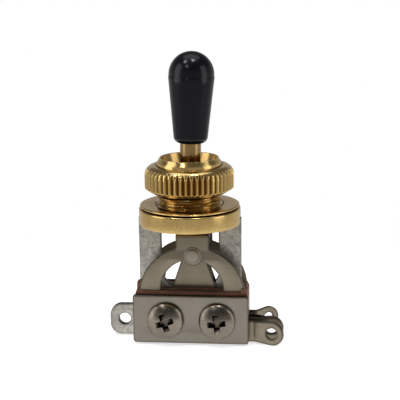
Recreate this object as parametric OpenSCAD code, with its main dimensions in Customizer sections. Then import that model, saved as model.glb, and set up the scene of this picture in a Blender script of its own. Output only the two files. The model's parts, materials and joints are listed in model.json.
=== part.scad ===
// Panel-mounted lever switch with two leaf contacts, in millimetres.
// The origin is on the bushing's axis, at the washer's top face, where the panel sits.
// +Z runs up the lever, -Y is the side of the screw heads, and the lever swings front to back.
// Each "front" piece has a "rear" twin, mirrored in the plane of the frame, Y = 0.

/* [Lever] */
// Largest diameter of the lever's tip
tip_d = 8.3; // [7:0.1:9]
// Diameter of the tip at its foot
tip_foot_d = 6.2; // [5.4:0.1:6.8]
// Height of the top of the tip above the panel seat
tip_top_z = 27.6; // [25:0.1:32]
// Height of the foot of the tip
tip_foot_z = 11; // [10.5:0.1:12.5]
// Diameter of the lever's shaft
shaft_d = 3.8; // [3.2:0.1:3.8]
// Sideways lean of the lever above its pivot, in degrees
lever_lean = 1.5; // [0:0.1:1.5]
// Height of the lever's pivot
pivot_z = -1.6; // [-1.7:0.05:-1.5]
// Diameter of the pivot pin
pivot_pin_d = 1.2; // [0.8:0.1:1.2]

/* [Roller] */
// Height of the roller's axis at the lever's lower end
roller_z = -5.85; // [-5.9:0.05:-5.8]
// Diameter of the roller
roller_d = 3.4; // [3:0.1:3.4]
// Width of the roller
roller_w = 1.5; // [1:0.1:1.6]
// Diameter of the roller's pin
roller_pin_d = 0.9; // [0.6:0.1:1]

/* [Bushing] */
// Outer diameter of the threaded bushing
thread_d = 12; // [11:0.1:12]
// Height of the bushing's rim above the panel seat
rim_z = 8.55; // [8:0.05:9]
// Outer diameter of the bushing's rim
rim_d = 10.8; // [10.4:0.1:11]
// Diameter of the flange under the panel
flange_d = 18.5; // [17:0.1:20]
// Thickness of the flange
flange_t = 2.9; // [2.6:0.1:3.2]
// Outer diameter of the washer
washer_d = 18.2; // [16:0.1:20]
// Thickness of the washer
washer_t = 0.6; // [0.4:0.1:1]

/* [Nut] */
// Diameter of the knurled nut
nut_d = 16.2; // [15:0.1:18]
// Height of the nut's lower face above the panel seat
nut_foot_z = 2.3; // [2.1:0.1:2.6]
// Height of the nut's upper face
nut_top_z = 7.2; // [6.5:0.05:7.5]

/* [Frame] */
// Width of the frame across its legs
frame_w = 18.8; // [18.6:0.1:19.2]
// Thickness of the frame's sheet
frame_t = 1.2; // [0.8:0.1:1.4]
// Width of the window between the legs
window_w = 10.6; // [10:0.1:11]
// Height of the window's lower edge
window_foot_z = -15.6; // [-16:0.1:-15.5]
// Radius of the window's lower corners
window_r = 3; // [1:0.1:4]
// Diameter of the hole in every solder lug
lug_hole_d = 2.2; // [1.6:0.1:2.4]

/* [Contact stack] */
// Sideways offset of the clamped stack from the bushing's axis
stack_x = 0.55; // [0:0.05:1]
// Sideways offset of the leaves' tongues from the middle of the stack
tongue_shift = 0.2; // [0:0.05:0.4]
// Sideways offset of the clamp plates and insulators
clamp_x = 0.4; // [0:0.05:0.8]
// Width of the front clamp plate
clamp_w = 21.1; // [20:0.1:22]
// Width of the rear clamp plate
rear_clamp_w = 19.9; // [19:0.1:22]
// Height of the clamp plates' upper edge
clamp_top_z = -16.1; // [-16.5:0.1:-15.6]
// Height of the clamp plates' lower edge
clamp_foot_z = -25.1; // [-25.5:0.1:-24.5]
// Thickness of a clamp plate
clamp_t = 1.1; // [0.8:0.1:1.6]
// Height of the insulators' upper edge, where the leaves start to flex
stack_top_z = -15.5; // [-15.6:0.05:-15.4]
// Width of the insulators
insulator_w = 20.4; // [20:0.1:22]
// Thickness of the insulator between frame and fixed leaf
frame_insulator_t = 0.4; // [0.3:0.05:0.5]
// Thickness of a fixed leaf
fixed_leaf_t = 0.4; // [0.3:0.05:0.4]
// Thickness of the spacer between fixed and moving leaf
spacer_t = 1.5; // [1.5:0.05:1.6]
// Thickness of a moving leaf
leaf_t = 0.5; // [0.4:0.05:0.5]
// Thickness of the insulator between moving leaf and clamp plate
outer_insulator_t = 0.7; // [0.4:0.05:1]

/* [Leaves and lugs] */
// Outer radius of the moving leaf's arch
arch_r = 9.25; // [9:0.05:9.4]
// Height of the centre of the arch's outer edge
arch_z = -16.65; // [-16.75:0.05:-16.5]
// Inner radius of the arch
arch_bore_r = 5.75; // [5:0.05:5.9]
// Height of the centre of the arch's inner edge
arch_bore_z = -15.5; // [-15.6:0.05:-15.4]
// Width of the moving leaf's tongue
tongue_w = 6.1; // [5:0.1:7]
// Height of the contacts
contact_z = -8.95; // [-9.2:0.05:-8.9]
// Height of the solder lugs' middle
lug_z = -23.2; // [-23.4:0.05:-23]
// Forward flare of the front moving leaf's lug, in degrees
front_flare = 18; // [10:1:30]
// Backward flare of the rear moving leaf's lug, in degrees
rear_flare = 35; // [10:1:45]

/* [Screws] */
// Distance between the two clamp screws
screw_pitch = 9.44; // [9:0.02:10]
// Diameter of a screw's shank
screw_d = 3.4; // [3:0.1:3.5]
// Diameter of a screw's head
screw_head_d = 6.6; // [5.5:0.1:7]
// Height of a screw's head
screw_head_h = 2; // [1.6:0.1:2.4]

/* [Hidden] */
$fn = 72;
eps = 0.01;
press_gap = 0;          // parts pressed together share one surface
tip_gap = 0.01;         // radial clearance of the shaft in the tip's socket
running_gap = 0.03;     // radial clearance of a pin in the piece that turns on it
thread_gap = 0.05;      // radial clearance of the nut on the bushing
lever_throw = 14;       // swing of the lever to each side, in degrees

shaft_r = shaft_d / 2;
dome_z = tip_top_z - tip_d / 2;
foot_round = 0.9;
socket_z = 20;          // top of the shaft, inside the tip
neck_z = -3.4;          // where the round shaft becomes the flat fork
fork_t = 2.2;           // thickness of the fork, front to back
fork_slot_w = roller_w + 0.1;
fork_slot_z = roller_z + roller_d / 2 + 0.25;
roller_pin_l = 3.4;
pivot_pin_l = flange_d - 0.5;

flange_top_z = -washer_t;
flange_foot_z = flange_top_z - flange_t;
notch_z = flange_foot_z + 1;
rim_cone_z = 7.7;
washer_bore_d = thread_d + 0.4;
mouth_play = 0.4;       // between the tilted lever and the bushing's bore

// Layers of the stack, as distances of their faces from the frame's middle plane
frame_face = frame_t / 2;
fixed_in = frame_face + frame_insulator_t;
fixed_out = fixed_in + fixed_leaf_t;
leaf_in = fixed_out + spacer_t;
leaf_out = leaf_in + leaf_t;
clamp_in = leaf_out + outer_insulator_t;
clamp_out = clamp_in + clamp_t;

tongue_x = stack_x + tongue_shift;
tab_rise = 0.5;         // how far the tabs' middle is above the roller's axis
tongue_top_z = roller_z + leaf_t / 2 + tab_rise;
tab_gap = 0.08;         // between the roller's widest part and each leaf's tab
arch_half_flat = 0.5;   // how far each half of the arch is centred from the stack's middle
lobe_r = 1.95;          // round lobe of the leaf around its contact
tab_in = roller_d / 2 + tab_gap;
flex_gap = 0.06;        // between the clamped and the moving part of a leaf
fixed_contact_t = 0.4;
fixed_contact_r = 1;
dome_r = 1.1;
dome_h = 0.35;
dome_ball_r = (dome_r * dome_r + dome_h * dome_h) / (2 * dome_h);
rivet_shank_r = 0.6;

stack_foot_z = clamp_foot_z - 0.1;
base_half_w = 9.7;      // half the width of every leaf's clamped base
base_edge_x = stack_x + base_half_w;
clamp_corner_r = 0.5;
screw_z = (clamp_top_z + clamp_foot_z) / 2 - 0.15;
screw_end = clamp_out + 1;
sleeve_bore_r = screw_d / 2 + 0.05;
sleeve_r = screw_d / 2 + 0.45;
stack_hole_r = sleeve_r + 0.05;
ear_r = 0.6;
ear_out = 0.15;         // how far an ear stands out past the insulator's side
ear_inset = 0.02;       // how much narrower an ear's stem is than its head, on each side
left_ear_z = -14.4;     // top of the one ear at the left
right_ear_z = -15.05;   // top of the one ear at the right

lug_neck_h = 3.9;
lug_head_r = 2.25;
lug_hole_r = lug_hole_d / 2;
lug_bend_x = 11.9;
lug_lap = 0.5;          // how far a lug's neck reaches into the base and the eye
lug_reach = 3.4;        // from the bend to the hole, along the lug
rear_lug_reach = 2.6;   // the same, for the rear moving leaf's lug
common_lug_reach = 3.05; // the same, for the two fixed leaves' lugs
joggle_start = 0.5;     // how far before the other lugs' bend the common lug starts to cross over
joggle_end = 1.3;       // how far past it the common lug runs straight again
ground_lug_end_x = -15.2;
ground_lug_top_z = -19.3;
ground_lug_hole = [-12.45, -22.2];
ground_lug_r = 2.2;

// Radius that the bushing's bore needs at a height, for the lever to swing freely
function lever_reach(z) = abs(z - pivot_z) * tan(lever_throw) + shaft_r / cos(lever_throw) + mouth_play;

// The direction of a path's stretch, and a quarter turn to its left
function heading(path, i) = (path[i + 1] - path[i]) / norm(path[i + 1] - path[i]);
function to_left(v) = [-v[1], v[0]];

// The mitred corner of a strip of sheet at a path's point, d to the left of the path
function strip_corner(path, i, d) =
    let (last = len(path) - 1,
         before = to_left(heading(path, max(i - 1, 0))),
         after = to_left(heading(path, min(i, last - 1))),
         middle = (before + after) / norm(before + after))
    path[i] + middle * d / (middle * before);

// ---- helpers ----

// A flat sheet whose outline is drawn in X and Z, from near to far in front of the middle plane
module front_sheet(near, far) {
    translate([0, -near, 0]) rotate([90, 0, 0]) linear_extrude(far - near) children();
}

// The rear twin of a front piece
module rear() {
    mirror([0, 1, 0]) children();
}

// Leans whatever is above the pivot to the side
module leaned() {
    translate([0, 0, pivot_z]) rotate([0, lever_lean, 0]) translate([0, 0, -pivot_z]) children();
}

// A cylinder along X, centred on x = 0
module cross_pin(r, l, z) {
    translate([-l / 2, 0, z]) rotate([0, 90, 0]) cylinder(r = r, h = l);
}

// A rectangle with four round corners, from its lower left to its upper right corner
module rounded_rect(low, high, r) {
    translate([low[0] + r, low[1]]) square([high[0] - low[0] - 2 * r, high[1] - low[1]]);
    translate([low[0], low[1] + r]) square([high[0] - low[0], high[1] - low[1] - 2 * r]);
    for (x = [low[0] + r, high[0] - r], z = [low[1] + r, high[1] - r])
        translate([x, z]) circle(r = r);
}

// The two holes through every layer of the stack
module stack_holes(r) {
    for (side = [-1, 1]) translate([stack_x + side * screw_pitch / 2, screw_z]) circle(r = r);
}

// The upright neck of a lug: a strip of sheet that follows a path seen from above
module lug_neck(path, t) {
    last = len(path) - 1;
    translate([0, 0, lug_z - lug_neck_h / 2]) linear_extrude(lug_neck_h) polygon(concat(
        [for (i = [0:last]) strip_corner(path, i, t / 2)],
        [for (i = [last:-1:0]) strip_corner(path, i, -t / 2)]
    ));
}

// The eye of a lug: widens from its neck to a round head along +X from the bend, with its hole
module lug_eye(t, reach) {
    neck_half = lug_neck_h / 2;
    head_half = lug_head_r - 0.05;
    translate([0, t / 2, 0]) rotate([90, 0, 0]) linear_extrude(t) difference() {
        translate([0, lug_z]) union() {
            polygon([[0, -neck_half], [lug_lap, -neck_half], [reach, -head_half],
                     [reach, head_half], [lug_lap, neck_half], [0, neck_half]]);
            translate([reach, 0]) circle(r = lug_head_r);
        }
        translate([reach, lug_z]) circle(r = lug_hole_r);
    }
}

// ---- lever ----

module lever_tip() {
    foot_r = tip_foot_d / 2;
    color("#222226") leaned() rotate_extrude() difference() {
        union() {
            translate([0, dome_z]) circle(d = tip_d);
            polygon([[0, tip_foot_z + foot_round], [foot_r, tip_foot_z + foot_round],
                     [tip_d / 2, dome_z], [0, dome_z]]);
            translate([0, tip_foot_z]) square([foot_r - foot_round, foot_round + eps]);
            translate([foot_r - foot_round, tip_foot_z + foot_round]) circle(r = foot_round);
        }
        translate([-tip_d, 0]) square([tip_d, 2 * tip_top_z]);
        square([shaft_r + tip_gap, socket_z]);
    }
}

// Round bar with a ball where it turns, and a flat fork that holds the roller
module lever_shaft() {
    color("#b3945c") difference() {
        union() {
            leaned() translate([0, 0, pivot_z]) cylinder(r = shaft_r, h = socket_z - pivot_z);
            translate([0, 0, pivot_z]) sphere(r = shaft_r);
            translate([0, 0, neck_z]) cylinder(r = shaft_r, h = pivot_z - neck_z);
            intersection() {
                translate([0, 0, roller_z - fork_t / 2])
                    cylinder(r = shaft_r, h = neck_z - roller_z + fork_t / 2 + eps);
                union() {
                    translate([-shaft_r, -fork_t / 2, roller_z])
                        cube([shaft_d, fork_t, neck_z - roller_z + eps]);
                    cross_pin(fork_t / 2, shaft_d, roller_z);
                }
            }
        }
        cross_pin(pivot_pin_d / 2 + running_gap, shaft_d + 1, pivot_z);
        cross_pin(roller_pin_d / 2 + press_gap, shaft_d + 1, roller_z);
        translate([-fork_slot_w / 2, -shaft_r, roller_z - roller_d])
            cube([fork_slot_w, shaft_d, fork_slot_z - roller_z + roller_d]);
    }
}

module pivot_pin() {
    color("#9b9789") cross_pin(pivot_pin_d / 2, pivot_pin_l, pivot_z);
}

module actuator_roller() {
    color("#e8e4d8") difference() {
        cross_pin(roller_d / 2, roller_w, roller_z);
        cross_pin(roller_pin_d / 2 + running_gap, roller_w + 1, roller_z);
    }
}

module roller_pin() {
    color("#9b9789") cross_pin(roller_pin_d / 2, roller_pin_l, roller_z);
}

// ---- bushing, nut and washer ----

module bushing() {
    thread_r = thread_d / 2;
    flange_r = flange_d / 2;
    edge = 0.3;
    color("#b08d4c") difference() {
        rotate_extrude() polygon([
            [lever_reach(flange_foot_z), flange_foot_z], [flange_r - edge, flange_foot_z],
            [flange_r, flange_foot_z + edge], [flange_r, flange_top_z - edge],
            [flange_r - edge, flange_top_z], [thread_r, flange_top_z],
            [thread_r, rim_cone_z], [rim_d / 2, rim_z], [lever_reach(rim_z), rim_z],
            [lever_reach(pivot_z), pivot_z]
        ]);
        cross_pin(pivot_pin_d / 2 + press_gap, flange_d + 2, pivot_z);
        for (side = [0, 1]) mirror([side, 0, 0])
            translate([window_w / 2, -frame_t / 2, flange_foot_z - 1])
                cube([flange_r, frame_t, notch_z - flange_foot_z + 1]);
    }
}

// Round nut: narrow boss below, knurled band, and a rounded shoulder above
module knurled_nut() {
    nut_r = nut_d / 2;
    bore_r = thread_d / 2 + thread_gap;
    boss_r = 6.8;
    shoulder = 1.7;
    chamfer = 0.8;
    color("#b18a45") rotate_extrude() difference() {
        union() {
            polygon([[bore_r, nut_foot_z], [boss_r, nut_foot_z], [nut_r, nut_foot_z + chamfer],
                     [nut_r, nut_top_z - shoulder], [bore_r, nut_top_z - shoulder]]);
            translate([bore_r, nut_top_z - shoulder - eps])
                square([nut_r - shoulder - bore_r, shoulder + eps]);
            translate([nut_r - shoulder, nut_top_z - shoulder]) circle(r = shoulder);
        }
        square([bore_r, 2 * nut_top_z]);
    }
}

module washer() {
    color("#b8a06c") translate([0, 0, -washer_t]) difference() {
        cylinder(d = washer_d, h = washer_t);
        translate([0, 0, -1]) cylinder(d = washer_bore_d, h = washer_t + 2);
    }
}

// ---- frame ----

// Flat U of thick sheet: a foot in the stack, two legs let into the flange, and the ground lug
module frame() {
    half_w = frame_w / 2;
    corner_x = window_w / 2 - window_r;
    color("#b4b2aa") front_sheet(-frame_face, frame_face) difference() {
        union() {
            translate([-half_w, stack_foot_z]) square([frame_w, notch_z - stack_foot_z]);
            rounded_rect([ground_lug_end_x, stack_foot_z], [0, ground_lug_top_z], ground_lug_r);
        }
        translate([-window_w / 2, window_foot_z + window_r])
            square([window_w, notch_z - window_foot_z]);
        translate([-corner_x, window_foot_z]) square([2 * corner_x, window_r + eps]);
        for (side = [-1, 1])
            translate([side * corner_x, window_foot_z + window_r]) circle(r = window_r);
        stack_holes(stack_hole_r);
        translate(ground_lug_hole) circle(r = lug_hole_r);
    }
}

// ---- clamp plates, insulators and screws ----

module clamp_plate(w, hole_r) {
    color("#8c8578") front_sheet(clamp_in, clamp_out) difference() {
        rounded_rect([clamp_x - w / 2, clamp_foot_z], [clamp_x + w / 2, clamp_top_z], clamp_corner_r);
        stack_holes(hole_r);
    }
}

module front_clamp_plate() { clamp_plate(clamp_w, screw_d / 2 + 0.1); }

// The rear plate is the tapped one
module rear_clamp_plate() { rear() clamp_plate(rear_clamp_w, screw_d / 2 + press_gap); }

// A layer of laminate; an ear is [side, height of its top], and stands above the upper corner
module insulator(near, far, ears = []) {
    half_w = insulator_w / 2;
    color("#7a3f2c") front_sheet(near, far) difference() {
        union() {
            translate([clamp_x - half_w, stack_foot_z]) square([insulator_w, stack_top_z - stack_foot_z]);
            for (ear = ears) translate([clamp_x + ear[0] * (half_w - ear_r + ear_out), 0]) {
                translate([0, ear[1] - ear_r]) circle(r = ear_r);
                translate([ear_inset - ear_r, stack_top_z - ear_r])
                    square([2 * (ear_r - ear_inset), ear[1] - stack_top_z]);
            }
        }
        stack_holes(stack_hole_r);
    }
}

module front_outer_insulator() { insulator(leaf_out, clamp_in, [[1, right_ear_z]]); }
module rear_outer_insulator() { rear() insulator(leaf_out, clamp_in); }
module front_spacer() { insulator(fixed_out, leaf_in); }
module rear_spacer() { rear() insulator(fixed_out, leaf_in); }
module front_frame_insulator() { insulator(frame_face, fixed_in, [[-1, left_ear_z]]); }
module rear_frame_insulator() { rear() insulator(frame_face, fixed_in); }

// Domed cross-recess screw, its head on the front clamp plate and its end through the rear one
module clamp_screw(side, turn) {
    head_r = screw_head_d / 2;
    rim_h = 0.8;
    cap_h = screw_head_h - rim_h;
    cap_r = (head_r * head_r + cap_h * cap_h) / (2 * cap_h);
    recess_w = 0.9;
    recess_l = 3.3;
    recess_t = 1.2;
    color("#8f887b") translate([stack_x + side * screw_pitch / 2, -clamp_out, screw_z])
        rotate([90, 0, 0]) difference() {
            union() {
                rotate_extrude() intersection() {
                    translate([0, screw_head_h - cap_r]) circle(r = cap_r);
                    square([head_r, screw_head_h]);
                }
                translate([0, 0, -clamp_out - screw_end]) cylinder(d = screw_d, h = clamp_out + screw_end);
            }
            for (a = [turn, turn + 90]) rotate([0, 0, a])
                translate([-recess_l / 2, -recess_w / 2, screw_head_h - recess_t])
                    cube([recess_l, recess_w, recess_t + 1]);
        }
}

module left_clamp_screw() { clamp_screw(-1, 18); }
module right_clamp_screw() { clamp_screw(1, 7); }

// Insulating tube that keeps a screw's shank off the leaves and the frame
module screw_sleeve(side) {
    color("#d9cfae") translate([stack_x + side * screw_pitch / 2, clamp_in, screw_z])
        rotate([90, 0, 0]) difference() {
            cylinder(r = sleeve_r, h = 2 * clamp_in);
            translate([0, 0, -1]) cylinder(r = sleeve_bore_r, h = 2 * clamp_in + 2);
        }
}

module left_screw_sleeve() { screw_sleeve(-1); }
module right_screw_sleeve() { screw_sleeve(1); }

// ---- moving leaves ----

// The part of a moving leaf above the stack: arch, tongue and the tab that follows the roller
module front_leaf_spring() {
    tongue_foot_z = arch_z + arch_r - 1.5;
    color("#8b8474") difference() {
        union() {
            front_sheet(leaf_in, leaf_out) union() {
                difference() {
                    intersection() {
                        union() {
                            translate([stack_x - arch_half_flat, arch_z]) circle(r = arch_r);
                            translate([stack_x + arch_half_flat, arch_z]) circle(r = arch_r);
                        }
                        translate([stack_x - base_half_w - 1, stack_top_z])
                            square([2 * base_half_w + 2, arch_r + 1]);
                    }
                    translate([stack_x, arch_bore_z]) circle(r = arch_bore_r);
                }
                translate([tongue_x, contact_z]) circle(r = lobe_r);
                translate([tongue_x - tongue_w / 2, tongue_foot_z])
                    square([tongue_w, tongue_top_z - tongue_foot_z]);
            }
            translate([tongue_x - tongue_w / 2, -leaf_out, tongue_top_z - leaf_t])
                cube([tongue_w, leaf_out - tab_in, leaf_t]);
        }
        front_sheet(leaf_in - 1, leaf_out + 1) translate([tongue_x, contact_z]) circle(r = rivet_shank_r);
    }
}

module rear_leaf_spring() { rear() front_leaf_spring(); }

// The clamped part of a moving leaf, with its solder lug flared away from the stack
module leaf_terminal(flare, reach) {
    mid = (leaf_in + leaf_out) / 2;
    color("#8b8474") union() {
        front_sheet(leaf_in, leaf_out) difference() {
            translate([stack_x - base_half_w, clamp_foot_z])
                square([2 * base_half_w, stack_top_z - flex_gap - clamp_foot_z]);
            stack_holes(stack_hole_r);
        }
        lug_neck([[base_edge_x - lug_lap, -mid], [lug_bend_x, -mid],
                  [lug_bend_x + lug_lap * cos(flare), -mid - lug_lap * sin(flare)]], leaf_t);
        translate([lug_bend_x, -mid, 0]) rotate([0, 0, -flare]) lug_eye(leaf_t, reach);
    }
}

module front_leaf_terminal() { leaf_terminal(front_flare, lug_reach); }
module rear_leaf_terminal() { rear() leaf_terminal(rear_flare, rear_lug_reach); }

// Riveted contact: stepped head outside, shank through the leaf, dome towards the fixed contact
module front_leaf_contact() {
    ring_r = 1.55;
    ring_t = 0.25;
    boss_r = 1.18;
    boss_t = 0.35;
    color("#a39a86") translate([tongue_x, -leaf_in, contact_z]) rotate([90, 0, 0]) rotate_extrude()
        union() {
            square([rivet_shank_r + press_gap, leaf_t]);
            translate([0, leaf_t]) square([ring_r, ring_t]);
            translate([0, leaf_t + ring_t - eps]) square([boss_r, boss_t + eps]);
            intersection() {
                translate([0, dome_ball_r - dome_h]) circle(r = dome_ball_r);
                translate([0, -dome_h]) square([dome_r, dome_h]);
            }
        }
}

module rear_leaf_contact() { rear() front_leaf_contact(); }

// ---- fixed leaves ----

// The flat part of a fixed leaf: base in the stack and a tongue that narrows upwards
module fixed_leaf_plate() {
    foot_half = 4.05;
    neck_half = 1.8;
    top_half = 1.2;
    top_z = contact_z + 1.05;
    front_sheet(fixed_in, fixed_out) difference() {
        union() {
            translate([stack_x - base_half_w, clamp_foot_z])
                square([2 * base_half_w, stack_top_z - clamp_foot_z]);
            polygon([[tongue_x - foot_half, stack_top_z - eps], [tongue_x + foot_half, stack_top_z - eps],
                     [tongue_x + neck_half, contact_z], [tongue_x + top_half, top_z],
                     [tongue_x - top_half, top_z], [tongue_x - neck_half, contact_z]]);
        }
        stack_holes(stack_hole_r);
    }
}

// Front fixed leaf: its lug runs straight out
module front_fixed_leaf() {
    mid = (fixed_in + fixed_out) / 2;
    color("#8b8474") union() {
        fixed_leaf_plate();
        lug_neck([[base_edge_x - lug_lap, -mid], [lug_bend_x + lug_lap, -mid]], fixed_leaf_t);
        translate([lug_bend_x, -mid, 0]) lug_eye(fixed_leaf_t, common_lug_reach);
    }
}

// Rear fixed leaf: its lug is bent forward and lies against the front one, as the common terminal
module rear_fixed_leaf() {
    mid = (fixed_in + fixed_out) / 2;
    joggle_x = lug_bend_x + joggle_end;
    joggle_y = -fixed_in + fixed_leaf_t / 2 + eps;
    color("#8b8474") union() {
        rear() fixed_leaf_plate();
        lug_neck([[base_edge_x - lug_lap, mid], [lug_bend_x - joggle_start, mid], [joggle_x, joggle_y],
                  [joggle_x + lug_lap, joggle_y]], fixed_leaf_t);
        translate([joggle_x, joggle_y, 0]) lug_eye(fixed_leaf_t, lug_bend_x + common_lug_reach - joggle_x);
    }
}

module front_fixed_contact() {
    color("#c9c2b2") translate([tongue_x, -fixed_out, contact_z]) rotate([90, 0, 0])
        cylinder(r = fixed_contact_r, h = fixed_contact_t);
}

module rear_fixed_contact() { rear() front_fixed_contact(); }

lever_tip();
lever_shaft();
pivot_pin();
actuator_roller();
roller_pin();
bushing();
knurled_nut();
washer();
frame();
front_clamp_plate();
rear_clamp_plate();
front_outer_insulator();
rear_outer_insulator();
front_leaf_spring();
rear_leaf_spring();
front_leaf_terminal();
rear_leaf_terminal();
front_leaf_contact();
rear_leaf_contact();
front_spacer();
rear_spacer();
front_fixed_leaf();
rear_fixed_leaf();
front_fixed_contact();
rear_fixed_contact();
front_frame_insulator();
rear_frame_insulator();
left_clamp_screw();
right_clamp_screw();
left_screw_sleeve();
right_screw_sleeve();
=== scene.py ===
"""Looks of the panel-mounted toggle leaf switch, built around its CAD frame.

Lengths are millimetres until a mesh is finished, and add() turns them into metres.
The front pieces are made first, and each rear twin is their mirror image in the plane Y = 0.
"""

import json
from math import acos, asin, atan2, ceil, cos, degrees, pi, radians, sin, tan

import bmesh
import bpy
from mathutils import Matrix, Quaternion, Vector, noise


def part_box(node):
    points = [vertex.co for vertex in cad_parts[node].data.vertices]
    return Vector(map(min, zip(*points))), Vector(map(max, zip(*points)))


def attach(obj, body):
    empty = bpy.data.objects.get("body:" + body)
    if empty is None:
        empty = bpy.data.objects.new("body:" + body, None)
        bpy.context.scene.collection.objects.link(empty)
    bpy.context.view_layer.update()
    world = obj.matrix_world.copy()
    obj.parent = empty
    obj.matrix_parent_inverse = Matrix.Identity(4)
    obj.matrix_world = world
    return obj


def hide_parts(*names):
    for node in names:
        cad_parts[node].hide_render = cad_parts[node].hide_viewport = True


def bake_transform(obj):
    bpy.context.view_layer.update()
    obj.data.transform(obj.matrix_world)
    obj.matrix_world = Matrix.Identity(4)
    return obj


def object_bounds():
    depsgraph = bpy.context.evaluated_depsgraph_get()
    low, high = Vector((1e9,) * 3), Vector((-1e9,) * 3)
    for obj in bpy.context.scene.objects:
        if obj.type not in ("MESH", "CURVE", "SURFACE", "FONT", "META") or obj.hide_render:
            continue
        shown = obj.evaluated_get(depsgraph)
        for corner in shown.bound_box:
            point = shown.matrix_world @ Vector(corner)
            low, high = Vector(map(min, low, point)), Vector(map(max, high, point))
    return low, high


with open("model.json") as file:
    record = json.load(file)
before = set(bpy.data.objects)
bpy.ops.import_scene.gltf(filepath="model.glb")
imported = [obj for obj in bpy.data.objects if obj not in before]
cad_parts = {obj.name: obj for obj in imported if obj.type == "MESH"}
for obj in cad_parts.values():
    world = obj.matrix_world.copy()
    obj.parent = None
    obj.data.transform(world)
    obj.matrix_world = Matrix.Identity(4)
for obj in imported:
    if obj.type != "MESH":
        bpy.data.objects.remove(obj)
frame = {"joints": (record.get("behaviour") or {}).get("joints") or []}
CAD_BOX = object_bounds()
MM = 0.001


# ---------------------------------------------------------------- sizes from the frame

def box_mm(node):
    """Lowest and highest corner of a CAD node, in millimetres."""
    low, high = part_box(node)
    return low / MM, high / MM


def joint_place(name):
    """Where a joint is, in millimetres."""
    found = next(j for j in frame["joints"] if j["name"] == name)
    return Vector(found["pos_m"]) / MM


PIVOT = joint_place("lever_tilt")
FLEX = joint_place("front_leaf_flex")

TIP_LOW, TIP_HIGH = box_mm("lever_tip")
TIP_R = (TIP_HIGH.x - TIP_LOW.x) / 2
DOME = Vector(((TIP_HIGH.x + TIP_LOW.x) / 2, 0, TIP_HIGH.z - TIP_R))
LEAN = atan2(DOME.x - PIVOT.x, DOME.z - PIVOT.z)
DOME_Z = PIVOT.z + (DOME - PIVOT).length    # height of the dome's centre with the lever upright
SHAFT_R = box_mm("lever_shaft")[1].y
ROLLER_LOW, ROLLER_HIGH = box_mm("actuator_roller")

BUSH_LOW, BUSH_HIGH = box_mm("bushing")
NUT_LOW, NUT_HIGH = box_mm("knurled_nut")
WASHER_LOW, WASHER_HIGH = box_mm("washer")
THREAD_R = 6.0

FRAME_LOW, FRAME_HIGH = box_mm("frame")
CLAMP_LOW, CLAMP_HIGH = box_mm("front_clamp_plate")
REAR_CLAMP_LOW, REAR_CLAMP_HIGH = box_mm("rear_clamp_plate")
BOARD_LOW, BOARD_HIGH = box_mm("front_spacer")
STACK_X = FLEX.x
LEAF_HIGH = box_mm("front_leaf_spring")[1]
TERMINAL_LOW = box_mm("front_leaf_terminal")[0]
FIXED_LOW = box_mm("front_fixed_leaf")[0]
CONTACT_LOW, CONTACT_HIGH = box_mm("front_leaf_contact")
RIVET_X = (CONTACT_LOW.x + CONTACT_HIGH.x) / 2
RIVET_Z = (CONTACT_LOW.z + CONTACT_HIGH.z) / 2
SCREW_LOW, SCREW_HIGH = box_mm("left_clamp_screw")
SCREW_R = (SCREW_HIGH.x - SCREW_LOW.x) / 2
SCREW_Z = (SCREW_LOW.z + SCREW_HIGH.z) / 2
SCREW_REACH = STACK_X - (SCREW_LOW.x + SCREW_HIGH.x) / 2

# Layers of the stack: distances of their faces in front of the frame's middle plane
FRAME_FACE = -FRAME_LOW.y
FIXED_IN = -box_mm("front_frame_insulator")[0].y
FIXED_OUT = -FIXED_LOW.y
LEAF_IN = -box_mm("front_spacer")[0].y
LEAF_T = 0.5
LEAF_OUT = LEAF_IN + LEAF_T
CLAMP_IN = -box_mm("front_outer_insulator")[0].y
CLAMP_OUT = -CLAMP_LOW.y
STACK_TOP = FLEX.z
STACK_FOOT = FRAME_LOW.z

# Sizes that the boxes don't give
WINDOW_HALF = 5.3
WINDOW_FOOT = -15.6
WINDOW_R = 3.0
LUG_HOLE_R = 1.1
STACK_HOLE_R = 2.2
GROUND_LUG_TOP = -19.3
GROUND_LUG_HOLE = (-12.45, -22.2)
ARCH_R = 9.25
ARCH_FLAT = 0.5         # half the flat length at the arch's top
ARCH_Z = STACK_TOP - 1.15
ARCH_BORE_R = 5.75
LOBE_R = 1.95
TONGUE_HALF = 3.05
LUG_BEND_X = 11.9
LUG_REACH = 3.4
REAR_LUG_REACH = 2.6
COMMON_LUG_REACH = 3.05
LUG_Z = -23.2
LUG_NECK_HALF = 1.95
LUG_HEAD_R = 2.25
LUG_LAP = 0.5
BASE_LEFT = TERMINAL_LOW.x
BASE_EDGE = 2 * STACK_X - BASE_LEFT


# ---------------------------------------------------------------- mesh helpers

ARC_STEP = radians(9)


def arc(x, y, radius, start, end):
    """Points of an arc from one angle to another, in degrees."""
    turn = radians(end - start)
    steps = max(2, ceil(abs(turn) / ARC_STEP))
    return [
        (x + radius * cos(radians(start) + turn * k / steps),
         y + radius * sin(radians(start) + turn * k / steps))
        for k in range(steps + 1)
    ]


def fillet(corners, closed=True):
    """An outline through corners (x, y, radius), each rounded by an arc of its radius."""
    outline = []
    for i, (x, y, radius) in enumerate(corners):
        here = Vector((x, y))
        if radius <= 0 or (not closed and i in (0, len(corners) - 1)):
            outline.append((x, y))
            continue
        back = (Vector(corners[i - 1][:2]) - here).normalized()
        ahead = (Vector(corners[(i + 1) % len(corners)][:2]) - here).normalized()
        half = back.angle(ahead) / 2
        centre = here + (back + ahead).normalized() * radius / sin(half)
        first = here + back * radius / tan(half) - centre
        last = here + ahead * radius / tan(half) - centre
        start = atan2(first.y, first.x)
        turn = (atan2(last.y, last.x) - start + pi) % (2 * pi) - pi
        steps = max(2, ceil(abs(turn) / ARC_STEP))
        for k in range(steps + 1):
            a = start + turn * k / steps
            outline.append((centre.x + radius * cos(a), centre.y + radius * sin(a)))
    return outline


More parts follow.
